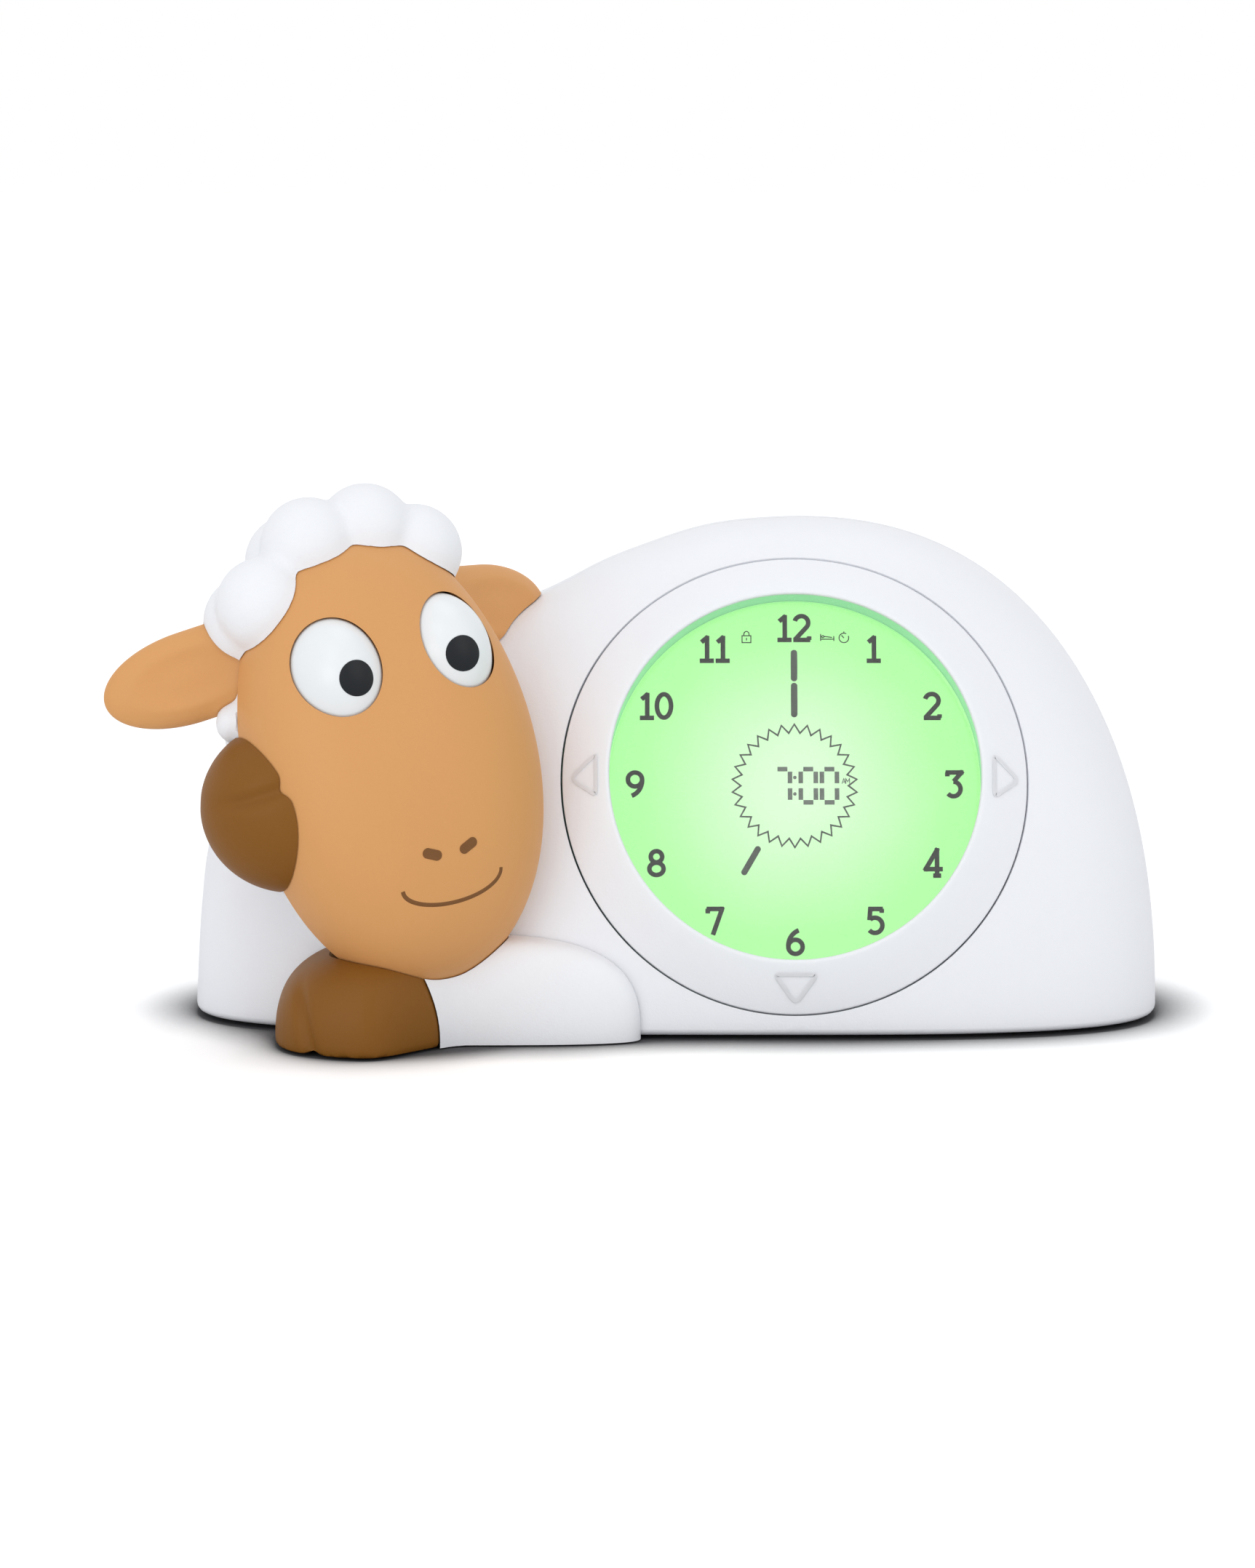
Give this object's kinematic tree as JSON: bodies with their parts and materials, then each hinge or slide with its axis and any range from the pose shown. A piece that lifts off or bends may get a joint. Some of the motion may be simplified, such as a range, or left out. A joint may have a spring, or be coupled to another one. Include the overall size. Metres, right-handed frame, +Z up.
{
  "type": "child's alarm clock with night light",
  "caption": "Low dome clock with a round lit dial inside a four-way control ring, and a sheep resting on a foreleg whose eyes roll between open and closed.",
  "frame": {"origin": "on the resting surface, below the middle of the object's box", "axes": "+X along the clock's width, from the sheep towards the dial's side; +Y towards the back; +Z up"},
  "size_m": [0.2382, 0.1052, 0.1243],
  "materials": {
    "housing_white": "fine satin moulded plastic",
    "wool_white": "soft satin moulded plastic",
    "face_tan": "soft satin moulded plastic",
    "hoof_brown": "satin moulded plastic",
    "eye_white": "polished",
    "pupil_black": "polished",
    "glow_plastic": "translucent, lit green from behind",
    "dial_clear": "clear flat window",
    "lcd_glass": "liquid crystal cell, lit green from behind",
    "lamp": "clear lamp body",
    "circuit_board": "coated board",
    "switch_black": "moulded",
    "steel": "plain",
    "gear_plastic": "natural moulded plastic",
    "foot_rubber": "matt"
  },
  "bodies": {
    "housing": {"front_shell": "housing_white", "rear_shell": "housing_white", "base_plate": "housing_white", "battery_door": "housing_white", "contact_strip_left": "steel", "contact_strip_right": "steel", "door_screw": "steel", "battery_1": "steel", "battery_2": "steel", "battery_3": "steel", "rubber_foot_1": "foot_rubber", "rubber_foot_2": "foot_rubber", "rubber_foot_3": "foot_rubber", "rubber_foot_4": "foot_rubber", "housing_screw_1": "steel", "housing_screw_2": "steel", "housing_screw_3": "steel", "housing_screw_4": "steel", "head_screw_1": "steel", "head_screw_2": "steel", "display_cup": "glow_plastic", "dial_lens": "dial_clear", "lcd_panel": "lcd_glass", "light_diffuser": "glow_plastic", "main_board": "circuit_board", "led_1": "lamp", "led_2": "lamp", "led_3": "lamp", "led_4": "lamp", "switch_board": "circuit_board", "tact_switch_right": "switch_black", "tact_switch_top": "switch_black", "tact_switch_left": "switch_black", "tact_switch_bottom": "switch_black", "speaker": "switch_black", "power_inlet": "switch_black", "foreleg": "wool_white", "lower_hoof": "hoof_brown", "upper_hoof": "hoof_brown", "face_shell": "face_tan", "wool_shell": "wool_white", "left_ear": "face_tan", "right_ear": "face_tan", "eye_bracket": "gear_plastic", "eye_motor": "steel", "bracket_screw_1": "steel", "bracket_screw_2": "steel", "idler_pin": "steel"},
    "gimbal": {"ring_carrier": "gear_plastic"},
    "ring": {"control_ring": "housing_white"},
    "eye_roller": {"eye_shaft": "steel", "eye_gear": "gear_plastic", "left_eye_white": "eye_white", "right_eye_white": "eye_white", "left_eyelid": "face_tan", "right_eyelid": "face_tan", "left_pupil": "pupil_black", "right_pupil": "pupil_black"},
    "idler": {"idler_gear": "gear_plastic"},
    "pinion": {"motor_pinion": "gear_plastic"}
  },
  "joints": [
    {"name": "ring_tilt_up_down", "type": "hinge", "parent": "housing", "child": "gimbal", "pos_m": [0.03538, -0.00124, 0.05275], "axis": [1, 0, 0], "range_deg": [-1.1, 1.1], "stiffness_Nm_per_rad": 2},
    {"name": "ring_tilt_sideways", "type": "hinge", "parent": "gimbal", "child": "ring", "pos_m": [0.03538, -0.00124, 0.05275], "axis": [0, 0.3387, 0.9409], "range_deg": [-1.1, 1.1], "stiffness_Nm_per_rad": 2},
    {"name": "eye_turn", "type": "hinge", "parent": "housing", "child": "eye_roller", "pos_m": [-0.05567, -0.03102, 0.08556], "axis": [0.8882, 0.4341, 0.1505], "range_deg": [0, 180]},
    {"name": "idler_spin", "type": "hinge", "parent": "housing", "child": "idler", "pos_m": [-0.06076, -0.01963, 0.08269], "axis": [0.8882, 0.4341, 0.1505], "range_deg": [-180, 0]},
    {"name": "pinion_spin", "type": "hinge", "parent": "housing", "child": "pinion", "pos_m": [-0.06472, -0.01377, 0.08918], "axis": [0.8882, 0.4341, 0.1505], "range_deg": [0, 360]}
  ],
  "couplings": [
    {"joint": "idler_spin", "follows": "eye_turn", "ratio": -1},
    {"joint": "pinion_spin", "follows": "eye_turn", "ratio": 2}
  ]
}
